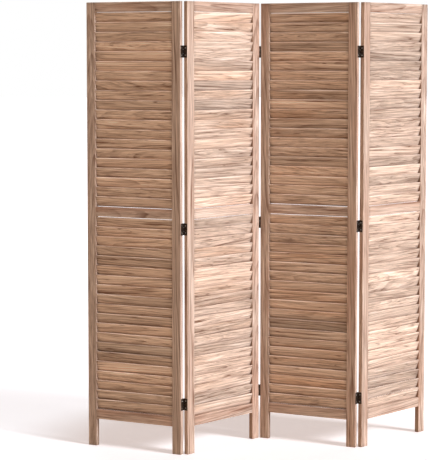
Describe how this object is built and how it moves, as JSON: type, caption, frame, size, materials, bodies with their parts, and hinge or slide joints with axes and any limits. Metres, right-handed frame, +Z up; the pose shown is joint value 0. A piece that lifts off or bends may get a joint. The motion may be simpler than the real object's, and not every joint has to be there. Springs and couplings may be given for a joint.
{
  "type": "folding louvred room divider",
  "caption": "Free-standing folding wooden screen: louvred panels on short legs, hinged edge to edge with barrels on alternate faces, filled with flat slats that turn on end pivots.",
  "frame": {"origin": "middle of the standing screen's footprint, on the floor", "axes": "+X along the screen to the right as seen from its front, +Y towards its back, +Z up"},
  "size_m": [1.3458, 0.2506, 1.7],
  "materials": {
    "frame_wood": "brushed, dry, open grain",
    "slat_wood": "brushed, dry, open grain",
    "hinge_metal": "dark bronze lacquer, satin"
  },
  "bodies": {
    "panel_1": {"hinge_1_2_bottom_left_leaf": "hinge_metal", "hinge_1_2_middle_left_leaf": "hinge_metal", "hinge_1_2_top_left_leaf": "hinge_metal", "panel_1_bottom_rail": "frame_wood", "panel_1_left_stile_and_slats": "frame_wood", "panel_1_middle_rail": "frame_wood", "panel_1_right_stile": "frame_wood", "panel_1_top_rail": "frame_wood"},
    "panel_2": {"hinge_1_2_bottom_right_leaf": "hinge_metal", "hinge_1_2_middle_right_leaf": "hinge_metal", "hinge_1_2_top_right_leaf": "hinge_metal", "hinge_2_3_bottom_left_leaf": "hinge_metal", "hinge_2_3_middle_left_leaf": "hinge_metal", "hinge_2_3_top_left_leaf": "hinge_metal", "panel_2_bottom_rail": "frame_wood", "panel_2_left_stile_and_slats": "frame_wood", "panel_2_middle_rail": "frame_wood", "panel_2_right_stile": "frame_wood", "panel_2_top_rail": "frame_wood"},
    "panel_3": {"hinge_2_3_bottom_right_leaf": "hinge_metal", "hinge_2_3_middle_right_leaf": "hinge_metal", "hinge_2_3_top_right_leaf": "hinge_metal", "hinge_3_4_bottom_left_leaf": "hinge_metal", "hinge_3_4_middle_left_leaf": "hinge_metal", "hinge_3_4_top_left_leaf": "hinge_metal", "panel_3_bottom_rail": "frame_wood", "panel_3_left_stile_and_slats": "frame_wood", "panel_3_middle_rail": "frame_wood", "panel_3_right_stile": "frame_wood", "panel_3_top_rail": "frame_wood"},
    "panel_4": {"hinge_3_4_bottom_right_leaf": "hinge_metal", "hinge_3_4_middle_right_leaf": "hinge_metal", "hinge_3_4_top_right_leaf": "hinge_metal", "panel_4_bottom_rail": "frame_wood", "panel_4_left_stile_and_lower_slats": "frame_wood", "panel_4_middle_rail": "frame_wood", "panel_4_right_stile": "frame_wood", "panel_4_top_rail": "frame_wood"},
    "upper_slat_01": {"panel_4_upper_slat_01": "slat_wood"},
    "upper_slat_02": {"panel_4_upper_slat_02": "slat_wood"},
    "upper_slat_03": {"panel_4_upper_slat_03": "slat_wood"},
    "upper_slat_04": {"panel_4_upper_slat_04": "slat_wood"},
    "upper_slat_05": {"panel_4_upper_slat_05": "slat_wood"},
    "upper_slat_06": {"panel_4_upper_slat_06": "slat_wood"},
    "upper_slat_07": {"panel_4_upper_slat_07": "slat_wood"},
    "upper_slat_08": {"panel_4_upper_slat_08": "slat_wood"},
    "upper_slat_09": {"panel_4_upper_slat_09": "slat_wood"},
    "upper_slat_10": {"panel_4_upper_slat_10": "slat_wood"},
    "upper_slat_11": {"panel_4_upper_slat_11": "slat_wood"},
    "upper_slat_12": {"panel_4_upper_slat_12": "slat_wood"},
    "upper_slat_13": {"panel_4_upper_slat_13": "slat_wood"},
    "upper_slat_14": {"panel_4_upper_slat_14": "slat_wood"},
    "upper_slat_15": {"panel_4_upper_slat_15": "slat_wood"},
    "upper_slat_16": {"panel_4_upper_slat_16": "slat_wood"},
    "upper_slat_17": {"panel_4_upper_slat_17": "slat_wood"},
    "upper_slat_18": {"panel_4_upper_slat_18": "slat_wood"},
    "upper_slat_19": {"panel_4_upper_slat_19": "slat_wood"},
    "upper_slat_20": {"panel_4_upper_slat_20": "slat_wood"}
  },
  "joints": [
    {"name": "fold_1_2", "type": "hinge", "parent": "panel_2", "child": "panel_1", "pos_m": [-0.33799, -0.10978, 0], "axis": [0, 0, 1], "range_deg": [-107.5, 72.5]},
    {"name": "fold_2_3", "type": "hinge", "parent": "panel_2", "child": "panel_3", "pos_m": [0, 0.10978, 0], "axis": [0, 0, 1], "range_deg": [-107.5, 72.5]},
    {"name": "fold_3_4", "type": "hinge", "parent": "panel_3", "child": "panel_4", "pos_m": [0.33799, -0.10978, 0], "axis": [0, 0, -1], "range_deg": [-107.5, 72.5]},
    {"name": "tilt_slat_01", "type": "hinge", "parent": "panel_4", "child": "upper_slat_01", "pos_m": [0.50699, 0, 0.94576], "axis": [0.8064, 0.5913, 0], "range_deg": [-10, 120]},
    {"name": "tilt_slat_02", "type": "hinge", "parent": "panel_4", "child": "upper_slat_02", "pos_m": [0.50699, 0, 0.98242], "axis": [0.8064, 0.5913, 0], "range_deg": [-10, 120]},
    {"name": "tilt_slat_03", "type": "hinge", "parent": "panel_4", "child": "upper_slat_03", "pos_m": [0.50699, 0, 1.01908], "axis": [0.8064, 0.5913, 0], "range_deg": [-10, 120]},
    {"name": "tilt_slat_04", "type": "hinge", "parent": "panel_4", "child": "upper_slat_04", "pos_m": [0.50699, 0, 1.05573], "axis": [0.8064, 0.5913, 0], "range_deg": [-10, 120]},
    {"name": "tilt_slat_05", "type": "hinge", "parent": "panel_4", "child": "upper_slat_05", "pos_m": [0.50699, 0, 1.09239], "axis": [0.8064, 0.5913, 0], "range_deg": [-10, 120]},
    {"name": "tilt_slat_06", "type": "hinge", "parent": "panel_4", "child": "upper_slat_06", "pos_m": [0.50699, 0, 1.12905], "axis": [0.8064, 0.5913, 0], "range_deg": [-10, 120]},
    {"name": "tilt_slat_07", "type": "hinge", "parent": "panel_4", "child": "upper_slat_07", "pos_m": [0.50699, 0, 1.1657], "axis": [0.8064, 0.5913, 0], "range_deg": [-10, 120]},
    {"name": "tilt_slat_08", "type": "hinge", "parent": "panel_4", "child": "upper_slat_08", "pos_m": [0.50699, 0, 1.20236], "axis": [0.8064, 0.5913, 0], "range_deg": [-10, 120]},
    {"name": "tilt_slat_09", "type": "hinge", "parent": "panel_4", "child": "upper_slat_09", "pos_m": [0.50699, 0, 1.23901], "axis": [0.8064, 0.5913, 0], "range_deg": [-10, 120]},
    {"name": "tilt_slat_10", "type": "hinge", "parent": "panel_4", "child": "upper_slat_10", "pos_m": [0.50699, 0, 1.27567], "axis": [0.8064, 0.5913, 0], "range_deg": [-10, 120]},
    {"name": "tilt_slat_11", "type": "hinge", "parent": "panel_4", "child": "upper_slat_11", "pos_m": [0.50699, 0, 1.31233], "axis": [0.8064, 0.5913, 0], "range_deg": [-10, 120]},
    {"name": "tilt_slat_12", "type": "hinge", "parent": "panel_4", "child": "upper_slat_12", "pos_m": [0.50699, 0, 1.34899], "axis": [0.8064, 0.5913, 0], "range_deg": [-10, 120]},
    {"name": "tilt_slat_13", "type": "hinge", "parent": "panel_4", "child": "upper_slat_13", "pos_m": [0.50699, 0, 1.38564], "axis": [0.8064, 0.5913, 0], "range_deg": [-10, 120]},
    {"name": "tilt_slat_14", "type": "hinge", "parent": "panel_4", "child": "upper_slat_14", "pos_m": [0.50699, 0, 1.4223], "axis": [0.8064, 0.5913, 0], "range_deg": [-10, 120]},
    {"name": "tilt_slat_15", "type": "hinge", "parent": "panel_4", "child": "upper_slat_15", "pos_m": [0.50699, 0, 1.45895], "axis": [0.8064, 0.5913, 0], "range_deg": [-10, 120]},
    {"name": "tilt_slat_16", "type": "hinge", "parent": "panel_4", "child": "upper_slat_16", "pos_m": [0.50699, 0, 1.49561], "axis": [0.8064, 0.5913, 0], "range_deg": [-10, 120]},
    {"name": "tilt_slat_17", "type": "hinge", "parent": "panel_4", "child": "upper_slat_17", "pos_m": [0.50699, 0, 1.53227], "axis": [0.8064, 0.5913, 0], "range_deg": [-10, 120]},
    {"name": "tilt_slat_18", "type": "hinge", "parent": "panel_4", "child": "upper_slat_18", "pos_m": [0.50699, 0, 1.56892], "axis": [0.8064, 0.5913, 0], "range_deg": [-10, 120]},
    {"name": "tilt_slat_19", "type": "hinge", "parent": "panel_4", "child": "upper_slat_19", "pos_m": [0.50699, 0, 1.60558], "axis": [0.8064, 0.5913, 0], "range_deg": [-10, 120]},
    {"name": "tilt_slat_20", "type": "hinge", "parent": "panel_4", "child": "upper_slat_20", "pos_m": [0.50699, 0, 1.64224], "axis": [0.8064, 0.5913, 0], "range_deg": [-10, 120]}
  ]
}
